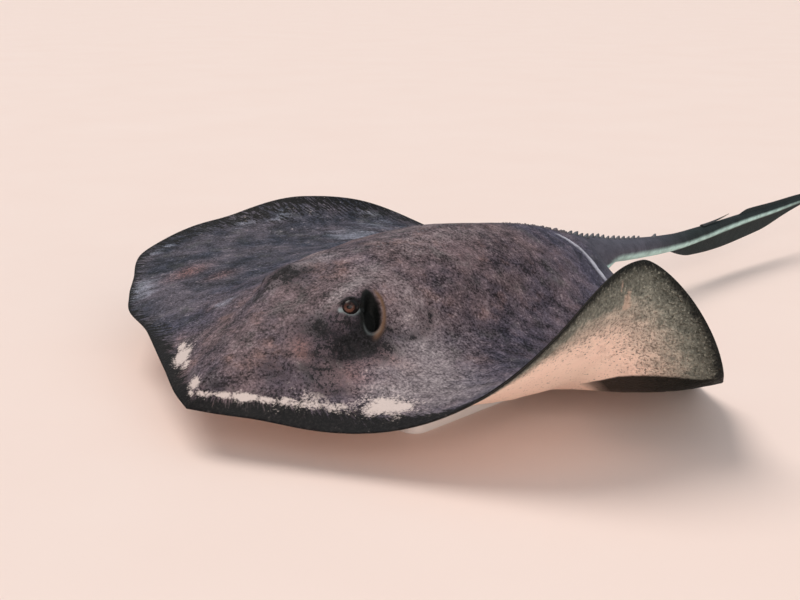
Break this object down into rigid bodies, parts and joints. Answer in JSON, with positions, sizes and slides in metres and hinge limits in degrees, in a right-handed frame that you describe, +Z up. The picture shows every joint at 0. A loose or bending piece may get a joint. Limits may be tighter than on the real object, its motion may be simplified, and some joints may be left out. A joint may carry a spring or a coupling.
{
  "type": "southern stingray display model",
  "caption": "Life-size still model of a southern stingray swimming with one wing curled up, whip tail with sting and fin fold, held by rods on a flat base",
  "frame": {"origin": "centre of the underside of the stand's base plate, on the floor", "axes": "+Z up, the nose faces -Y and the tail runs towards +Y, the animal's left wing is towards +X"},
  "size_m": [0.9599, 2.206, 0.242],
  "materials": {
    "skin": "wet slate-grey hide, mottled brown above, cream below with a dusky margin",
    "sting": "greyish bone",
    "eye": "wet amber-brown iris with a dark pupil",
    "stand_plate": "fine matt white powder coat",
    "stand_rod": "brushed steel"
  },
  "bodies": {
    "root": {"head": "skin", "trunk": "skin", "pectoral_fin_left": "skin", "pectoral_fin_right": "skin", "pelvic_fin_left": "skin", "pelvic_fin_right": "skin", "tail_base": "skin", "tail_middle": "skin", "tail_whip_front": "skin", "tail_whip_rear": "skin", "tail_finfold": "skin", "tail_keel": "skin", "sting": "sting", "eye_left": "eye", "eye_right": "eye", "stand_base": "stand_plate", "stand_rod_front": "stand_rod", "stand_rod_rear": "stand_rod"}
  },
  "joints": []
}
